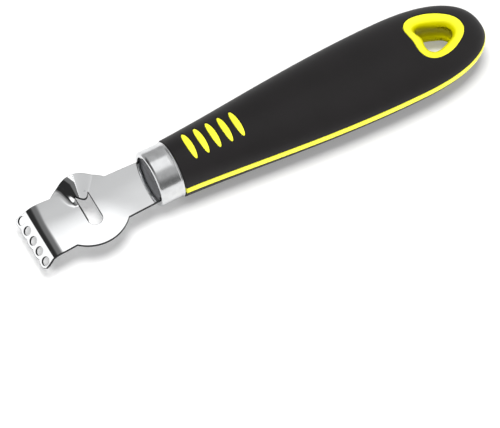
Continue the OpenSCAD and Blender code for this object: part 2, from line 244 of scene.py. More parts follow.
# Slope of the steep flank from crest (0) to foot (1): a narrow facet by the crest, a crease,
# the steep pressed facet, and a soft run-out. Its height is what is left of the slope's sum.
flank_t = np.linspace(0, 1, 201)
flank_slope = 0.3 + 0.5 * step_up(flank_t, 0.1, 0.22) + 0.2 * step_up(flank_t, 0.28, 0.4)
flank_slope *= (1 - 0.86 * step_up(flank_t, 0.48, 0.64)) * np.clip((1 - flank_t) / 0.36, 0, 1)
flank_height = 1 - np.cumsum(flank_slope) / flank_slope.sum()
flat_top_y = 9.9
flat_top_w = 1.7
nose_gap = 0.2
fade_low = 3.2
fade_high = 0.6
gentle_power = 1.5


def ridge_lift(x, y):
    """Height of the pressed ridge over the flat sheet.

    It grows from nose to rim and falls from the crest to a foot on each side: on the tip's
    side by the faceted flank above, on the other by a power of a cosine. Towards the rim the
    crest widens to a flat top. Beside the slot the steep flank fades out by a smooth step, and
    the strip under the nose stays flat.
    """
    u = np.clip((x + slot_x) / (slot_w / 2), -1, 1)
    nose_y = foot_y - nose_reach * (1 - u * u)
    v = np.clip((y - foot_y + nose_reach) / (rim_y - foot_y + nose_reach), 0, 1)
    crest = crest_nose + (crest_rim - crest_nose) * v
    steep_foot = steep_foot_nose + (steep_foot_rim - steep_foot_nose) * v
    beyond = np.clip((y - foot_y) / (rim_y - foot_y), 0, 1)
    gentle_foot = slot_w / 2 - slot_x + (gentle_foot_rim - slot_w / 2 + slot_x) * beyond
    top_edge = crest - flat_top_w * np.clip((y - flat_top_y) / (disc_r - flat_top_y), 0, 1)
    steep = np.interp((top_edge - x) / (top_edge - steep_foot), flank_t, flank_height)
    gentle = np.cos(np.pi / 2 * np.clip((x - crest) / (gentle_foot - crest), 0, 1)) ** gentle_power
    slot_side = -slot_x - slot_w / 2
    fade = np.where(x < slot_side, step_up(y, foot_y - fade_low, foot_y - fade_high), 1)
    fade = np.where((x > slot_side) & (y < nose_y - nose_gap), 0, fade)
    height = ridge_h_nose + (ridge_h_rim - ridge_h_nose) * v
    return height * np.where(x < crest, steep, gentle) * fade


# The crown's height and its middle grow along the sheet from the shank to the disc
crown_from = 6.0
middle_from = 10.0
crown_full = 18.0
crown_shift = 3.0


def sheet_face(q, depth=0.0):
    """Face of the sheet at the unrolled place q, or a parallel face that deep under it.

    In front of bend_start the sheet follows the bend and the slope. The disc and neck are
    crowned across by a large radius, as pressed sheet is, and the ridge stands on them.
    """
    p, y = q[:, 0], q[:, 1]
    way = np.clip((bend_start - p) / bend_l, 0, 1)
    tilt = tip_angle * way ** bend_ease
    slope = np.maximum(bend_start - bend_l - p, 0)
    x = np.where(p > bend_start, p, bend_start - np.interp(way, bend_way, bend_dx))
    x = x - slope * math.cos(tip_angle)
    z = sheet_top - np.interp(way, bend_way, bend_dz) - slope * math.sin(tip_angle)
    crowned = step_up(-p, crown_from, crown_full)
    middle = crown_shift * step_up(-p, middle_from, crown_full)
    lift = ridge_lift(p, y) - crowned * (y - middle) ** 2 / (2 * crown_r) - depth
    return np.stack([x - lift * np.sin(tilt), y, z + lift * np.cos(tilt)], 1)


def sheet_back(q):
    """The sheet's underside."""
    return sheet_face(q, sheet_t)


def blade_outline():
    """The blank's outline, unrolled: tang, shank, disc, neck, bend and the scalloped tip."""
    root_a = math.degrees(math.asin(root_w / 2 / disc_r))
    neck_a = 180 - math.degrees(math.asin(neck_w / 2 / disc_r))
    tip_l = hole_row + hole_r + hole_rim
    far = [[tang_steps[2], tail_w / 2], [tang_steps[1], tail_w / 2], [tang_steps[1], tang_w / 2],
           [tang_steps[0], tang_w / 2], [tang_steps[0], shank_w / 2]]
    far += arc(-disc_x, 0, disc_r, root_a, neck_a, 60).tolist()
    far += [[bend_start, bend_w / 2], [unrolled(bend_run), bend_w / 2],
            [unrolled(hole_row), tip_w / 2], [unrolled(tip_l - corner_cut), tip_w / 2]]
    cusp = math.degrees(math.asin(hole_pitch / 2 / scallop_r))
    centre = unrolled(tip_l - scallop_r)
    scallops = []
    for i in range(hole_count - 1, -1, -1):
        y = (i - (hole_count - 1) / 2) * hole_pitch
        first = 180 - (end_scallop if i == hole_count - 1 else cusp)
        last = 180 + (end_scallop if i == 0 else cusp)
        scallops += arc(centre, y, scallop_r, first, last, 12).tolist()
    near = [[x, -y] for x, y in far[::-1]]
    return divide(np.array(far + scallops + near), outline_step)


def slot_outline():
    """The slot: straight sides, a round end, and the nose's bowed edge across its top."""
    end_y = slot_w / 2 - slot_reach
    u = np.linspace(-1, 1, 25)
    nose = np.stack([-slot_x + u * slot_w / 2, foot_y - nose_reach * (1 - u * u)], 1)
    end = arc(-slot_x, end_y, slot_w / 2, 0, -180, 30)
    loop = np.concatenate([nose, end])
    return divide(loop[np.hypot(*(loop - np.roll(loop, 1, axis=0)).T) > 1e-6], outline_step)


def rounded_rim(loop, thickness, r):
    """A rim with both of its edges rounded: quarter circles of radius r at face and back."""
    turn = np.radians([0, 30, 60, 90])
    offsets = r * (1 - np.sin(turn))
    depths = r * (1 - np.cos(turn))
    face = [(inset(loop, o), d) for o, d in zip(offsets, depths)]
    back = [(inset(loop, o), thickness - d) for o, d in zip(offsets[::-1], depths[::-1])]
    return face + back


def hole_rims():
    """The zesting holes: circles with a keen edge at the face and a ground bevel at the back."""
    p = unrolled(hole_row)
    rings = [(0.06, 0.0), (0.02, 0.02), (0.0, 0.07), (0.0, sheet_t - bevel), (bevel, sheet_t)]
    rims = []
    for i in range(hole_count):
        y = (i - (hole_count - 1) / 2) * hole_pitch
        rims.append([(arc(p, y, hole_r + r, 360, 0, 49)[:-1], depth) for r, depth in rings])
    return rims


# The blade's grid covers the whole sheet, and the ridge's zone of it from ridge_low up is finer
sheet_from = -44
sheet_to = 33
sheet_half = 13
ridge_from = -32.0
ridge_mid = -20.0
ridge_to = -10.6
ridge_low = 3.0
wide_step = 1.2
gentle_step = 0.3
steep_step = 0.15
bend_rows = 34
bend_half = 10.0
bend_margin = 0.3
bend_step = 0.8


def blade_grid():
    """Points inside the sheet: coarse where it is flat, fine on the ridge and in the bend."""
    wide = plane_grid(np.arange(sheet_from, sheet_to, wide_step),
                      np.arange(-sheet_half, sheet_half, wide_step))
    bent_x = np.linspace(bend_start + bend_margin, bend_start - bend_l - bend_margin, bend_rows)
    bent = plane_grid(bent_x, np.arange(-bend_half, bend_half + 0.1, bend_step))
    pressed = plane_grid(np.arange(ridge_mid, ridge_to, gentle_step),
                         np.arange(ridge_low, sheet_half, gentle_step))
    steep = plane_grid(np.arange(ridge_from + 0.2, ridge_mid - 0.1, steep_step),
                       np.arange(ridge_low, sheet_half, steep_step))
    x, y = wide.T
    in_bend = (x < bend_start + bend_step) & (x > bend_start - bend_l - bend_step)
    on_ridge = (x > ridge_from) & (x < ridge_to + 0.2) & (y > ridge_low - 0.2)
    return np.concatenate([wide[~in_bend & ~on_ridge], bent, pressed, steep])


blade_rims = [rounded_rim(loop, sheet_t, edge_r) for loop in (blade_outline(), slot_outline())]
blade_rims += hole_rims()
blade = make_piece("blade_sheet", *shell(blade_rims, blade_grid(), sheet_face, sheet_back))


def linear(code):
    """sRGB hex code to linear red, green, blue and alpha: a power curve with a straight foot."""
    c = np.array([int(code[i:i + 2], 16) for i in (1, 3, 5)]) / 255
    c = np.where(c <= 0.04045, c / 12.92, ((c + 0.055) / 1.055) ** 2.4)
    return (*c.tolist(), 1.0)


def add_node(tree, kind, inputs=None, **settings):
    """Adds a node with its settings; inputs maps a socket to a value or to another socket."""
    node = tree.nodes.new(kind)
    for key, value in settings.items():
        setattr(node, key, value)
    for socket, value in (inputs or {}).items():
        if isinstance(value, bpy.types.NodeSocket):
            tree.links.new(value, node.inputs[socket])
        else:
            node.inputs[socket].default_value = value
    return node


def new_material(name):
    """An empty material, its node tree, and the socket with the piece's Object coordinates."""
    material = bpy.data.materials.new(name)
    material.use_nodes = True
    tree = material.node_tree
    tree.nodes.clear()
    place = add_node(tree, "ShaderNodeTexCoord").outputs["Object"]
    return material, tree, place


def close_material(tree, shader):
    """Joins the shader to a new material output."""
    add_node(tree, "ShaderNodeOutputMaterial", {"Surface": shader.outputs[0]})


# 18/10 stainless sheet, mirror-polished on a mop: reflections stay sharp but waver a little with
# the sheet, and the finest polishing lines, under 0.01 mm, are drawn at 0.15 mm to show at all.
def polished_stainless():
    material, tree, place = new_material("polished stainless sheet")
    lines = add_node(tree, "ShaderNodeMapping", {"Vector": place, "Scale": (900, 6500, 900)})
    grain = add_node(tree, "ShaderNodeTexNoise", {"Vector": lines.outputs[0], "Scale": 1.0,
                                                  "Detail": 2.0})
    sway = add_node(tree, "ShaderNodeTexNoise", {"Vector": place, "Scale": 90.0, "Detail": 1.0})
    rough = add_node(tree, "ShaderNodeMapRange", {"Value": grain.outputs["Fac"], "To Min": 0.05,
                                                  "To Max": 0.1})
    fine = add_node(tree, "ShaderNodeBump", {"Height": grain.outputs["Fac"], "Strength": 0.03,
                                             "Distance": 0.00002})
    wave = add_node(tree, "ShaderNodeBump", {"Height": sway.outputs["Fac"], "Strength": 0.25,
                                             "Distance": 0.0001, "Normal": fine.outputs[0]})
    steel = add_node(tree, "ShaderNodeBsdfPrincipled", {
        "Base Color": linear("#E9EAEB"), "Metallic": 1.0, "Roughness": rough.outputs[0],
        "Normal": wave.outputs[0]})
    close_material(tree, steel)
    return material


# Walls of the holes and the slot, and the blank's edge, stay as the punch sheared them: the mop
# hardly reaches them, so they are rough. Their near-black tone is painted shade, standing in for
# the shadowed floor and underside that these walls mirror.
def sheared_stainless_with_painted_shade():
    material, tree, place = new_material("sheared stainless edge with painted shade")
    tear = add_node(tree, "ShaderNodeTexNoise", {"Vector": place, "Scale": 6000.0, "Detail": 3.0})
    # Painted shade: these near-black steel tones stand in for the dark the walls mirror
    tone = add_node(tree, "ShaderNodeMix", {"Factor": tear.outputs["Fac"], "A": linear("#191A1B"),
                                            "B": linear("#333436")}, data_type="RGBA")
    bump = add_node(tree, "ShaderNodeBump", {"Height": tear.outputs["Fac"], "Strength": 0.4,
                                             "Distance": 0.00003})
    steel = add_node(tree, "ShaderNodeBsdfPrincipled", {
        "Base Color": tone.outputs[2], "Metallic": 1.0, "Roughness": 0.45,
        "Normal": bump.outputs[0]})
    close_material(tree, steel)
    return material


blade.data.materials.append(polished_stainless())
blade.data.materials.append(sheared_stainless_with_painted_shade())
# The shell's walls are its quads, its two faces are triangles
face_corners = np.zeros(len(blade.data.polygons), np.int32)
blade.data.polygons.foreach_get("loop_total", face_corners)
blade.data.polygons.foreach_set("material_index", (face_corners == 4).astype(np.int32))
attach(blade, "root")
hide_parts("blade")

# Ferrule
# A deep-drawn stainless cup with its closed end pierced: the front edge is rolled over into a
# smooth lip round the mouth, a thin bead stands at the rear, and the handle is moulded into it.
ferrule_r = 9.2
ferrule_l = 8.3
ferrule_wall = 0.8
mouth_r = 7.6
lip_l = 1.1
lip_h = 0.62
bead_r = 0.45
bead_h = 0.15
bore_from = 1.4
wall_margin = 0.4
bead_margin = 1.05
round_steps = 128


def turned(name, profile):
    """A closed profile of (x, radius) points turned about the tool's axis by sine and cosine."""
    a = np.linspace(0, 2 * np.pi, round_steps, endpoint=False)
    x, r = np.repeat(profile[:, :1], round_steps, 1), profile[:, 1:]
    points = np.stack([x, r * np.sin(a), r * np.cos(a)], -1).reshape(-1, 3)
    i, j = np.meshgrid(np.arange(len(profile)), np.arange(round_steps), indexing="ij")
    i2, j2 = (i + 1) % len(profile), (j + 1) % round_steps
    faces = np.stack([i * round_steps + j, i * round_steps + j2, i2 * round_steps + j2,
                      i2 * round_steps + j], -1).reshape(-1, 4)
    return make_piece(name, points, faces.tolist())


def ferrule_profile():
    """Half section: the lip rolled over as a quarter ellipse, the wall, the bead and the bore."""
    a = np.radians(np.linspace(180, 90, 18))
    roll = np.stack([lip_l * (1 + np.cos(a)), ferrule_r - lip_h + lip_h * np.sin(a)], 1)
    wall_x = np.linspace(lip_l + wall_margin, ferrule_l - bead_margin, 8)
    wall = np.stack([wall_x, np.full(8, ferrule_r)], 1)
    bead = arc(ferrule_l - bead_r, ferrule_r + bead_h - bead_r, bead_r, 146, 0, 12)
    bore_r = ferrule_r - ferrule_wall
    bore = [[ferrule_l, bore_r], [bore_from, bore_r], [1.0, bore_r - 0.15],
            [ferrule_wall, bore_r - 0.5]]
    hem = [[ferrule_wall, mouth_r + 0.1], [ferrule_wall - 0.1, mouth_r],
           [0.12, mouth_r], [0.0, mouth_r + 0.12]]
    return np.concatenate([roll, wall, bead, bore, hem])


# Deep-drawn stainless, satin outside: turning lines run round it, so reflections stretch
# into soft bands along the tube. The lines are drawn 0.12 mm apart, twice the real spacing.
def drawn_stainless():
    material, tree, place = new_material("drawn stainless tube")
    lines = add_node(tree, "ShaderNodeMapping", {"Vector": place, "Scale": (8000, 120, 120)})
    grain = add_node(tree, "ShaderNodeTexNoise", {"Vector": lines.outputs[0], "Scale": 1.0,
                                                  "Detail": 2.0})
    cloud = add_node(tree, "ShaderNodeTexNoise", {"Vector": place, "Scale": 420.0, "Detail": 3.0})
    tone = add_node(tree, "ShaderNodeMix", {"Factor": cloud.outputs["Fac"], "A": linear("#C6C7C8"),
                                            "B": linear("#EAEBEC")}, data_type="RGBA")
    rough = add_node(tree, "ShaderNodeMapRange", {"Value": cloud.outputs["Fac"], "To Min": 0.14,
                                                  "To Max": 0.24})
    fine = add_node(tree, "ShaderNodeBump", {"Height": grain.outputs["Fac"], "Strength": 0.08,
                                             "Distance": 0.00003})
    steel = add_node(tree, "ShaderNodeBsdfPrincipled", {
        "Base Color": tone.outputs[2], "Metallic": 1.0, "Roughness": rough.outputs[0],
        "Normal": fine.outputs[0]})
    close_material(tree, steel)
    return material


ferrule = turned("ferrule_cup", ferrule_profile())
ferrule.data.materials.append(drawn_stainless())
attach(ferrule, "root")
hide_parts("ferrule")

# Tang plug
# A moulded plug of dark grey plastic behind the mouth, which holds the shank in the ferrule.
# It is a plain disc with the shank's slot through it, so the solid itself shows.


# Filled polypropylene, matt from the mould: a fine even grain and hardly any gloss. Its grey is
# lighter than the plug's own dark grey: painted light that makes up for the shade of the lip.
def plug_plastic_with_painted_light():
    material, tree, place = new_material("grey moulded polypropylene with painted light")
    grain = add_node(tree, "ShaderNodeTexNoise", {"Vector": place, "Scale": 3500.0, "Detail": 3.0})
    # Painted light: these greys are lifted above the plug's dark grey to offset the shade in the
    # mouth
    tone = add_node(tree, "ShaderNodeMix", {"Factor": grain.outputs["Fac"], "A": linear("#9C9C9F"),
                                            "B": linear("#B4B4B7")}, data_type="RGBA")
    bump = add_node(tree, "ShaderNodeBump", {"Height": grain.outputs["Fac"], "Strength": 0.2,
                                             "Distance": 0.00005})
    body = add_node(tree, "ShaderNodeBsdfPrincipled", {
        "Base Color": tone.outputs[2], "Roughness": 0.6, "IOR": 1.49, "Normal": bump.outputs[0]})
    close_material(tree, body)
    return material


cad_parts["tang_plug"].data.materials.clear()
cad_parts["tang_plug"].data.materials.append(plug_plastic_with_painted_light())

# Core
# The handle's hard yellow-green core, moulded over the tang. Only its stripe, its thumb ovals
# and the rim of its hanging hole reach the surface; the soft grips cover the rest.
handle_x = 8.35
handle_l = 114.3
front_w = 19.4
handle_w = 31.5
half_t = 9.4
slim_t = 8.75
settle_x = 32.0
wide_x = 82.3
thin_x = 71.3
flare = 1.25
squareness = 2.15
butt_fullness = 2.38
grip_t = 1.6
skin_gap = 0.1
stripe_w = 2.6
inlay_drop = 0.1
oval_count = 5
oval_x = 6.3
oval_pitch = 4.2
oval_l = 10.0
oval_w = 2.1
hang_mid = 96.3
hang_r = 9.3
hang_stretch = 0.35
hang_lobe = 0.9
hang_dent = 0.2
hang_rim = 3.8
hang_roll = 2.6
spigot_x = 3.95
spigot_r = 8.35
core_step = 2.0
ring_steps = 64


def closing(x, start, end):
    """A rounded end's share: 1 up to start, then a superellipse's quarter down to 0 at end."""
    t = np.clip((x - start) / (end - start), 0, 1)
    return np.maximum(1 - t ** butt_fullness, 0) ** (1 / butt_fullness)


def half_width(x, skin):
    """Half of the handle's width at x behind its front, with a skin taken off.

    It spreads by a power of a quarter sine wave up to the widest place, then closes.
    """
    spread = np.sin(np.pi / 2 * np.clip(x / wide_x, 0, 1)) ** flare
    flank = front_w / 2 + (handle_w - front_w) / 2 * spread
    return (flank - skin) * closing(x, wide_x, handle_l - skin)


def half_depth(x, skin):
    """Half of its thickness: it slims by half a cosine wave behind the front, then closes."""
    slim = slim_t + (half_t - slim_t) * (1 + np.cos(np.pi * np.clip(x / settle_x, 0, 1))) / 2
    return (slim - skin) * closing(x, thin_x, handle_l - skin)


def section_power(x):
    """Squareness of the section: an ellipse at the ferrule, fuller behind it."""
    return 2 + (squareness - 2) * np.clip(x / settle_x, 0, 1)


def face_z(x, y, skin):
    """Height of the handle's upper face over the parting plane: the section solved for z."""
    n = section_power(x)
    across = np.clip(np.abs(y) / np.maximum(half_width(x, skin), 1e-9), 0, 1)
    return half_depth(x, skin) * np.maximum(1 - across ** n, 0) ** (1 / n)


def on_section(x, a, skin):
    """Point of the section's outline at angle a, with a skin taken off: a superellipse."""
    n = section_power(x)
    c, s = np.cos(a), np.sin(a)
    y = half_width(x, skin) * np.sign(c) * np.abs(c) ** (2 / n)
    z = half_depth(x, skin) * np.sign(s) * np.abs(s) ** (2 / n)
    return np.stack([x + handle_x, y, z], -1)


def hang_outline(a):
    """Radius of the hanging hole's outline: a rounded triangle with a dent towards the blade.

    It is a circle with cosines of two to five times the angle added.
    """
    return (hang_r + hang_stretch * np.cos(2 * a) + hang_lobe * np.cos(3 * a)
            + hang_dent * (np.cos(5 * a) - np.cos(4 * a)))


def oval_loop(i, margin, count=48):
    """Plan outline of one thumb oval, grown by the margin, turning clockwise."""
    a = -np.linspace(0, 2 * np.pi, count, endpoint=False)
    x = oval_x + i * oval_pitch + (oval_w / 2 + margin) * np.cos(a)
    return np.stack([x, (oval_l / 2 + margin) * np.sin(a)], 1)


def hang_loop(margin, count=120):
    """Plan outline of the hanging hole's rim, grown by the margin, turning clockwise."""
    a = -np.linspace(0, 2 * np.pi, count, endpoint=False)
    r = hang_outline(a) + margin
    return np.stack([hang_mid + r * np.cos(a), r * np.sin(a)], 1)


# The half skin's flat domain: along it the sine-spaced way to the butt, across it the angle.
# A half skin ends where it is only thin_end times as thick as its edge.
domain_l = 130.0
domain_w = 40.0
thin_end = 1.06


def skin_reach(edge, skin):
    """Where the skinned body gets as thin as its edge: the butt's superellipse solved for x."""
    q = max(edge * thin_end, 0.02) / (slim_t - skin)
    return thin_x + (handle_l - skin - thin_x) * (1 - q ** butt_fullness) ** (1 / butt_fullness)


def to_domain(plan, edge, skin=0.0):
    """Plan points on the upper face to the flat domain: half_skin's formulas solved for it."""
    x, y = plan[:, 0], plan[:, 1]
    n = section_power(x)
    w, t = half_width(x, skin), half_depth(x, skin)
    a = np.arccos(np.sign(y) * np.clip(np.abs(y) / w, 0, 1) ** (n / 2))
    a0 = np.arcsin(np.clip(edge / t, 0, 1) ** (n / 2))
    u = np.arcsin(np.clip(x / skin_reach(edge, skin), 0, 1)) / (np.pi / 2)
    v = (np.pi - a0 - a) / (np.pi - 2 * a0)
    return np.stack([u * domain_l, v * domain_w], 1)


def half_skin(q, edge, skin, side=1):
    """Upper (side 1) or lower half of the skinned handle over its flat domain.

    Along it x is a sine of the way, and across it the section's angle runs evenly between the
    two places where the section is as high as the edge.
    """
    u = np.clip(q[:, 0] / domain_l, 0, 1)
    v = q[:, 1] / domain_w
    x = skin_reach(edge, skin) * np.sin(np.pi / 2 * u)
    n = section_power(x)
    a0 = np.arcsin(np.clip(edge / half_depth(x, skin), 0, 1) ** (n / 2))
    points = on_section(x, np.pi - a0 - v * (np.pi - 2 * a0), skin)
    return points * [1, 1, side]


def skin_grid(step):
    """Even points over the half skin's domain."""
    return plane_grid(np.arange(step, domain_l, step), np.arange(step, domain_w, step))


def skin_border(step):
    """The domain's four sides, turning counter-clockwise."""
    corners = np.array([[0, 0], [domain_l, 0], [domain_l, domain_w], [0, domain_w]], float)
    return divide(corners, step)


# Hard plastic with a satin gloss, bright greenish yellow right through and slightly cloudy. With
# a painted-shade tone it turns olive below a rim, by the attribute below_rim in millimetres: this
# is painted shade, standing in for the light that the walls of the hanging hole do not get.
def yellow_green_plastic(name, gloss, painted_shade_tone=None):
    material, tree, place = new_material(name)
    cloud = add_node(tree, "ShaderNodeTexNoise", {"Vector": place, "Scale": 180.0, "Detail": 2.0})
    tone = add_node(tree, "ShaderNodeMix", {"Factor": cloud.outputs["Fac"], "A": linear("#F6F232"),
                                            "B": linear("#FDFA44")}, data_type="RGBA")
    if painted_shade_tone:
        below = add_node(tree, "ShaderNodeAttribute", attribute_name="below_rim").outputs["Fac"]
        # Painted shade: the olive tone grows with the depth below the rim, where the walls lie in
        # shade
        depth = add_node(tree, "ShaderNodeMapRange", {
            "Value": below, "From Min": 0.08, "From Max": 1.3}, interpolation_type="SMOOTHSTEP")
        tone = add_node(tree, "ShaderNodeMix", {"Factor": depth.outputs[0], "A": tone.outputs[2],
                                                "B": linear(painted_shade_tone)}, data_type="RGBA")
    grain = add_node(tree, "ShaderNodeTexNoise", {"Vector": place, "Scale": 2600.0, "Detail": 2.0})
    rough = add_node(tree, "ShaderNodeMapRange", {"Value": grain.outputs["Fac"], "To Min": 0.3,
                                                  "To Max": 0.42})
    bump = add_node(tree, "ShaderNodeBump", {"Height": grain.outputs["Fac"], "Strength": 0.1,
                                             "Distance": 0.00003})
    body = add_node(tree, "ShaderNodeBsdfPrincipled", {
        "Base Color": tone.outputs[2], "Roughness": rough.outputs[0], "IOR": 1.49,
        "Specular IOR Level": gloss, "Normal": bump.outputs[0]})
    close_material(tree, body)
    return material


yellow = yellow_green_plastic("yellow-green moulded polypropylene", 0.5)
# The lining of the hanging hole carries the olive painted shade below its rim
hole_yellow_with_painted_shade = yellow_green_plastic("yellow-green polypropylene in the hanging hole", 0.03,
                                   "#D2CD00")


def core_piece(name, points, faces, normals=None, material=yellow):
    """A piece of the core, with its material and its place in the frame."""
    piece = make_piece(name, points, faces, normals)
    piece.data.materials.append(material)
    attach(piece, "root")
    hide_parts("core")
    return piece


def core_skin(q):
    """Upper half of the core under the grip."""
    return half_skin(q, 0.0, grip_t + skin_gap)


def core_skin_below(q):
    """Its mirror image, the lower half."""
    return half_skin(q, 0.0, grip_t + skin_gap, -1)


core_border = skin_border(core_step)
core_window = to_domain(hang_loop(-hang_rim / 2), 0.0, grip_t + skin_gap)
core_rims = [[(core_border, 0), (core_border, 0)], [(core_window, 0), (core_window, 0)]]
core_piece("core_body", *shell(core_rims, skin_grid(core_step), core_skin, core_skin_below))


def spigot():
    """The core's spigot in the ferrule: a plain round bar with a flat front."""
    a = np.linspace(0, 2 * np.pi, ring_steps, endpoint=False)
    ring = np.stack([np.zeros(ring_steps), spigot_r * np.sin(a), spigot_r * np.cos(a)], 1)
    points = np.concatenate([ring + [spigot_x, 0, 0], ring + [handle_x + 1, 0, 0]])
    i = np.arange(ring_steps)
    side = np.stack([i, (i + 1) % ring_steps, (i + 1) % ring_steps + ring_steps, i + ring_steps], 1)
    return points, side[:, ::-1].tolist() + [i.tolist(), (i[::-1] + ring_steps).tolist()]


core_piece("core_spigot", *spigot())
stripe_round = 0.3
stripe_step = 1.5


def stripe_face(q):
    """The stripe slab's flat upper face over plan points."""
    return np.stack([q[:, 0] + handle_x, q[:, 1], np.full(len(q), stripe_w / 2)], 1)


def stripe_back(q):
    """Its mirror image, the lower face."""
    return stripe_face(q) * [1, 1, -1]


def stripe_shell():
    """The stripe: the handle's middle outline, a slab as thick as the stripe is wide."""
    x = handle_l * np.sin(np.linspace(0, np.pi / 2, 90))
    side = np.stack([x, half_width(x, inlay_drop)], 1)
    side = side[side[:, 1] > 0.05]
    loop = divide(np.concatenate([side[::-1], side * [1, -1]]), stripe_step)
    keep = np.hypot(*(loop - np.roll(loop, 1, axis=0)).T) > 1e-4
    window = hang_loop(-hang_rim / 2)
    rims = [rounded_rim(loop[keep], stripe_w, stripe_round), [(window, 0), (window, stripe_w)]]
    grid = plane_grid(np.arange(1, handle_l, 2 * stripe_step), np.arange(-15, 16, 2 * stripe_step))
    return shell(rims, grid, stripe_face, stripe_back)


core_piece("core_stripe", *stripe_shell())


def thumb_oval(number):
    """One inlay: a low crown over its ellipse on both faces, with a rounded edge and a wall."""
    share = np.array([0.12, 0.35, 0.6, 0.8, 0.92, 0.98, 1.0])
    sink = np.array([0.0, 0.0, 0.0, 0.005, 0.02, 0.06, 0.16])
    a = np.linspace(0, 2 * np.pi, ring_steps, endpoint=False)
    mid_x = oval_x + number * oval_pitch
    x = mid_x + np.outer(share, np.cos(a)) * oval_w / 2
    y = np.outer(share, np.sin(a)) * oval_l / 2
    z = face_z(x, y, inlay_drop) - sink[:, None]
    top = np.stack([x + handle_x, y, z], -1).reshape(-1, 3)
    middle = np.array([[mid_x + handle_x, 0, face_z(np.array(mid_x), np.array(0.0), inlay_drop)]])
    points = np.concatenate([top, middle, top * [1, 1, -1], middle * [1, 1, -1]])
    half = len(top) + 1
    ring, j = np.meshgrid(np.arange(len(share) - 1), np.arange(ring_steps), indexing="ij")
    here, there = ring * ring_steps + j, ring * ring_steps + (j + 1) % ring_steps
    bands = np.stack([here, here + ring_steps, there + ring_steps, there], -1).reshape(-1, 4)
    k = np.arange(ring_steps)
    after = (k + 1) % ring_steps
    fan = np.stack([np.full(ring_steps, len(top)), k, after], 1)
    edge = len(top) - ring_steps
    wall = np.stack([edge + k, edge + k + half, edge + after + half, edge + after], 1)
    faces = bands.tolist() + fan.tolist() + (bands[:, ::-1] + half).tolist()
    faces += (fan[:, ::-1] + half).tolist() + wall.tolist()
    return points, faces


for i in range(oval_count):
    core_piece(f"thumb_oval_{i + 1}", *thumb_oval(i))


lining_steps = 160
lining_turn_in = 0.25
lining_gap = 0.12


def hang_lining():
    """The hanging hole's lining: its rim rolls in by a quarter ellipse on both faces.

    The bore between them has a shallow stepped recess. The third result is each point's depth
    below the rim at its own angle.
    """
    a = np.linspace(0, 2 * np.pi, lining_steps, endpoint=False)
    r = hang_outline(a)
    edge_z = face_z(hang_mid + r * np.cos(a), r * np.sin(a), inlay_drop)
    b = np.linspace(0, np.pi / 2, 16)
    lip_r = r[:, None] - hang_rim * np.sin(b)
    lip_z = edge_z[:, None] - hang_roll * (1 - np.cos(b))
    lip_r = np.concatenate([r[:, None], lip_r], 1)
    lip_z = np.concatenate([edge_z[:, None] - lining_turn_in, lip_z], 1)
    lip_r[:, 1] -= lining_gap
    bore_z = np.array([3.4, 1.8, 1.7, 1.6, 0.0, -1.6, -1.7, -1.8, -3.4]) * np.ones((len(a), 1))
    bore_r = lip_r[:, -1:] + np.array([0.0, 0.0, 0.12, 0.24, 0.28, 0.24, 0.12, 0.0, 0.0])
    radius = np.concatenate([lip_r, bore_r, lip_r[:, ::-1]], 1)
    z = np.concatenate([lip_z, bore_z, -lip_z[:, ::-1]], 1)
    x = hang_mid + handle_x + radius * np.cos(a)[:, None]
    points = np.stack([x, radius * np.sin(a)[:, None], z], -1).reshape(-1, 3)
    n = z.shape[1]
    i, j = np.meshgrid(np.arange(len(a)), np.arange(n), indexing="ij")
    i2, j2 = (i + 1) % len(a), (j + 1) % n
    faces = np.stack([i * n + j, i2 * n + j, i2 * n + j2, i * n + j2], -1).reshape(-1, 4)
    below = np.repeat(edge_z[:, None], n, 1) - np.abs(z)
    return points, faces[:, ::-1].tolist(), below.ravel()


lining_points, lining_faces, below_rim = hang_lining()
lining = core_piece("hang_hole_lining", lining_points, lining_faces, material=hole_yellow_with_painted_shade)
# below_rim sets how much painted shade each point of the lining gets
lining.data.attributes.new("below_rim", "FLOAT", "POINT").data.foreach_set("value", below_rim)

# Soft grips
# Two half shells of black soft-touch rubber, moulded over the core above and below its stripe.
# Each has windows for the thumb ovals and the hanging hole, with softly rounded edges.
grip_edge = stripe_w / 2 + skin_gap
window_round = 0.35
seam_round = 0.3
grip_step = 0.9


def grip_window(loop_at):
    """A window's rim: the face rolls down by a quarter circle, then a straight wall.

    loop_at gives the window's plan outline for a margin.
    """
    turn = np.radians([0, 25, 50, 70, 90])
    rim = [(to_domain(loop_at(skin_gap + window_round * (1 - math.sin(t))), grip_edge),
            window_round * (1 - math.cos(t))) for t in turn]
    rim.append((to_domain(loop_at(skin_gap), grip_edge), grip_t))
    return rim


def grip_skin(q):
    """The grip's outer face, the handle's own."""
    return half_skin(q, grip_edge, 0.0)


def grip_lining(q):
    """Its inner face, an even wall below."""
    return half_skin(q, grip_edge, grip_t)


def grip_shell(side):
    """One grip: the skin over its windows, a wall inside, and a seam rolled by a quarter circle."""
    border = skin_border(grip_step)
    turn = np.radians([0, 30, 60, 90])
    seam = [(inset(border, seam_round * (1 - math.sin(t))), seam_round * (1 - math.cos(t)))
            for t in turn]
    seam.append((border, grip_t))
    ovals = [grip_window(partial(oval_loop, i)) for i in range(oval_count)]
    rims = [seam, *ovals, grip_window(hang_loop)]
    points, faces, normals = shell(rims, skin_grid(grip_step), grip_skin, grip_lining)
    if side < 0:
        points, normals = points * [1, 1, -1], normals * [1, 1, -1]
        faces = [face[::-1] for face in faces]
    return points, faces, normals


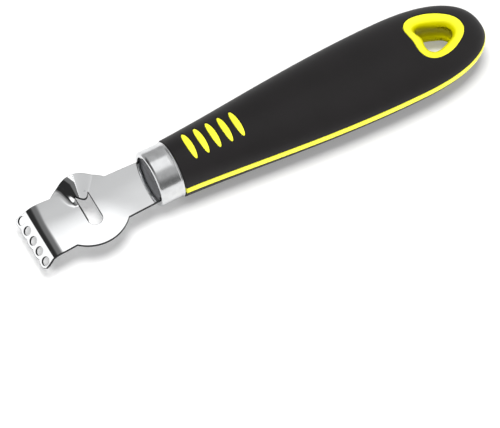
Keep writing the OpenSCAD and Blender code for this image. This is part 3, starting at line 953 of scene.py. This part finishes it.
# Soft-touch thermoplastic rubber: warm black, matt, with a spark-eroded grain of about
# 0.1 mm that is drawn at 0.3 mm. A thin bloom lightens it at glancing angles.
def soft_rubber():
    material, tree, place = new_material("black soft-touch rubber")
    cloud = add_node(tree, "ShaderNodeTexNoise", {"Vector": place, "Scale": 70.0, "Detail": 4.0})
    tone = add_node(tree, "ShaderNodeMix", {"Factor": cloud.outputs["Fac"], "A": linear("#151414"),
                                            "B": linear("#201E1F")}, data_type="RGBA")
    grain = add_node(tree, "ShaderNodeTexNoise", {"Vector": place, "Scale": 3000.0, "Detail": 2.0})
    rough = add_node(tree, "ShaderNodeMapRange", {"Value": cloud.outputs["Fac"], "To Min": 0.48,
                                                  "To Max": 0.6})
    bump = add_node(tree, "ShaderNodeBump", {"Height": grain.outputs["Fac"], "Strength": 0.25,
                                             "Distance": 0.00006})
    body = add_node(tree, "ShaderNodeBsdfPrincipled", {
        "Base Color": tone.outputs[2], "Roughness": rough.outputs[0], "IOR": 1.5,
        "Specular IOR Level": 0.25, "Sheen Weight": 0.03, "Sheen Roughness": 0.5,
        "Normal": bump.outputs[0]})
    close_material(tree, body)
    return material


rubber = soft_rubber()
for name, node, side in (("soft_grip_top", "grip_top", 1), ("soft_grip_bottom", "grip_bottom", -1)):
    grip = make_piece(name, *grip_shell(side))
    grip.data.materials.append(rubber)
    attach(grip, "root")
    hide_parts(node)

# Camera
# The photograph's view, found by fitting a camera to the tool's outline: a long lens that looks
# down from the near side at 59 degrees, with the blade to the left.
view_azimuth = math.radians(-29.70)
view_elevation = math.radians(58.55)
view_roll = math.radians(-0.08)
view_place = (-0.16188, -0.27645, 0.48023)
view_focal_px = 1800.4
photo_width_px = 500

lens = bpy.data.cameras.new("photo_lens")
lens.sensor_width = 36.0
lens.lens = view_focal_px / photo_width_px * lens.sensor_width
lens.clip_start = 0.01
camera = bpy.data.objects.new("photo_camera", lens)
turn = (Matrix.Rotation(view_azimuth, 4, "Z")
        @ Matrix.Rotation(math.pi / 2 - view_elevation, 4, "X")
        @ Matrix.Rotation(view_roll, 4, "Z"))
camera.matrix_world = Matrix.Translation(view_place) @ turn
bpy.context.scene.collection.objects.link(camera)
bpy.context.scene.camera = camera

# Floor
# A pale sweep of paper that keeps the soft shadow. A little added glow lifts the open paper to
# white where it is seen or mirrored, so no lamp has to be stronger than plain.
floor_half = 1.5
paper_glow = 0.24
floor_corners = [(-floor_half, -floor_half, 0), (floor_half, -floor_half, 0),
                 (floor_half, floor_half, 0), (-floor_half, floor_half, 0)]
floor_mesh = bpy.data.meshes.new("paper_floor")
floor_mesh.from_pydata(floor_corners, [], [(0, 1, 2, 3)])
floor = bpy.data.objects.new("paper_floor", floor_mesh)
bpy.context.scene.collection.objects.link(floor)


# Seamless background paper, matt and pale: it only scatters, and rays from the lens, from gloss
# and through clear pieces see its glow too.
def studio_paper():
    material, tree, _ = new_material("white studio paper")
    paper = add_node(tree, "ShaderNodeBsdfDiffuse", {"Color": linear("#D8D8D8")})
    ray = add_node(tree, "ShaderNodeLightPath").outputs
    seen = ray["Is Camera Ray"]
    for kind in ("Is Glossy Ray", "Is Transmission Ray"):
        seen = add_node(tree, "ShaderNodeMath", {0: seen, 1: ray[kind]},
                        operation="MAXIMUM").outputs[0]
    glow = add_node(tree, "ShaderNodeMath", {0: seen, 1: paper_glow}, operation="MULTIPLY")
    light = add_node(tree, "ShaderNodeEmission", {"Color": (1, 1, 1, 1),
                                                  "Strength": glow.outputs[0]})
    both = add_node(tree, "ShaderNodeAddShader", {0: paper.outputs[0], 1: light.outputs[0]})
    close_material(tree, both)
    return material


floor_mesh.materials.append(studio_paper())

# Lamps
# A soft lamp straight overhead keeps the shadow under the tool, and a low one, two metres in
# front and so the weaker of the two, lights the stripe. Neither shows in gloss, where the
# studio's panel takes their place.
for name, place, size, power in (
        ("overhead_lamp", (-0.05, 0.05, 1.1), 0.62, 14.0),
        ("front_lamp", (0.3, -2.0, 0.11), 0.2, 28.0)):
    lamp_data = bpy.data.lights.new(name, "AREA")
    lamp_data.shape = "DISK"
    lamp_data.size = size
    lamp_data.energy = power
    lamp = bpy.data.objects.new(name, lamp_data)
    lamp.location = place
    lamp.rotation_euler = (-lamp.location).to_track_quat("-Z", "Y").to_euler()
    lamp.visible_glossy = False
    bpy.context.scene.collection.objects.link(lamp)

# Studio
# A plain bright room for diffuse light and a white background. What gloss and metal mirror is
# a white overhead panel with a grey room round it and a dark screen on the tip's side.
fill_level = 0.24
world = bpy.data.worlds.new("studio")
bpy.context.scene.world = world
world.use_nodes = True
room = world.node_tree
room.nodes.clear()
way = add_node(room, "ShaderNodeTexCoord").outputs["Generated"]
toward = add_node(room, "ShaderNodeSeparateXYZ", {"Vector": way}).outputs


def brightness(value, stops):
    """Brightness by a direction component from -1 to 1, straight between the stops."""
    spread = add_node(room, "ShaderNodeMapRange", {"Value": value, "From Min": -1.0,
                                                   "From Max": 1.0})
    band = add_node(room, "ShaderNodeValToRGB", {"Fac": spread.outputs[0]})
    elements = band.color_ramp.elements
    while len(elements) < len(stops):
        elements.new(0.5)
    for element, (place, level) in zip(elements, stops):
        element.position = (place + 1) / 2
        element.color = (level, level, level, 1)
    return band.outputs["Color"]


# From the front to the back: the grey room, the white panel, and the room behind the panel
across = brightness(toward["Y"], [
    (-1.0, 0.2), (-0.9, 0.17), (-0.8, 0.34), (-0.72, 0.5), (-0.48, 0.54), (-0.35, 0.56),
    (-0.24, 1.1), (-0.14, 1.4), (0.45, 1.4), (0.478, 1.0), (0.49, 0.86), (0.498, 0.54),
    (0.507, 0.7), (0.55, 0.63), (0.76, 0.52), (1.0, 0.46)])
# From the tip's side to the butt's: the dark screen, its soft edge, and the panel. The edge
# leans, so it hides more of the room the lower that lies at the back.
low_back = add_node(room, "ShaderNodeMapRange", {"Value": toward["Y"], "From Min": 0.49,
                                                 "From Max": 0.55, "To Min": 0.0, "To Max": 0.1})
leaning = add_node(room, "ShaderNodeMath", {0: toward["X"], 1: low_back.outputs[0]},
                   operation="SUBTRACT")
along = brightness(leaning.outputs[0], [
    (-0.70, 0.03), (-0.45, 0.03), (-0.35, 0.06), (-0.27, 0.17), (-0.06, 0.19), (0.0, 0.25),
    (0.06, 0.55), (0.1, 1.1), (0.12, 1.4), (0.24, 1.4), (0.3, 0.76), (1.0, 0.66)])
# Round the screen's front, lower and far edges the room shows again
before_screen = brightness(toward["Y"], [(-0.35, 0.4), (0.1, 0.0)])
below_screen = brightness(toward["Z"], [(0.42, 0.5), (0.5, 0.0)])
beyond_screen = brightness(toward["X"], [(-0.735, 1.25), (-0.705, 0.0)])
mirror = along
for layer, blend in ((before_screen, "LIGHTEN"), (below_screen, "LIGHTEN"), (across, "DARKEN"),
                     (beyond_screen, "LIGHTEN")):
    mirror = add_node(room, "ShaderNodeMix", {"Factor": 1.0, "A": mirror, "B": layer},
                      data_type="RGBA", blend_type=blend).outputs[2]
ray = add_node(room, "ShaderNodeLightPath").outputs
fill = (fill_level, fill_level, fill_level, 1)
room_light = add_node(room, "ShaderNodeMix", {"Factor": ray["Is Camera Ray"], "A": fill,
                                              "B": (1, 1, 1, 1)}, data_type="RGBA")
shown = add_node(room, "ShaderNodeMix", {"Factor": ray["Is Glossy Ray"], "A": room_light.outputs[2],
                                         "B": mirror}, data_type="RGBA")
backdrop = add_node(room, "ShaderNodeBackground", {"Color": shown.outputs[2], "Strength": 1.0})
add_node(room, "ShaderNodeOutputWorld", {"Surface": backdrop.outputs[0]})

bpy.context.scene.view_settings.view_transform = "Standard"
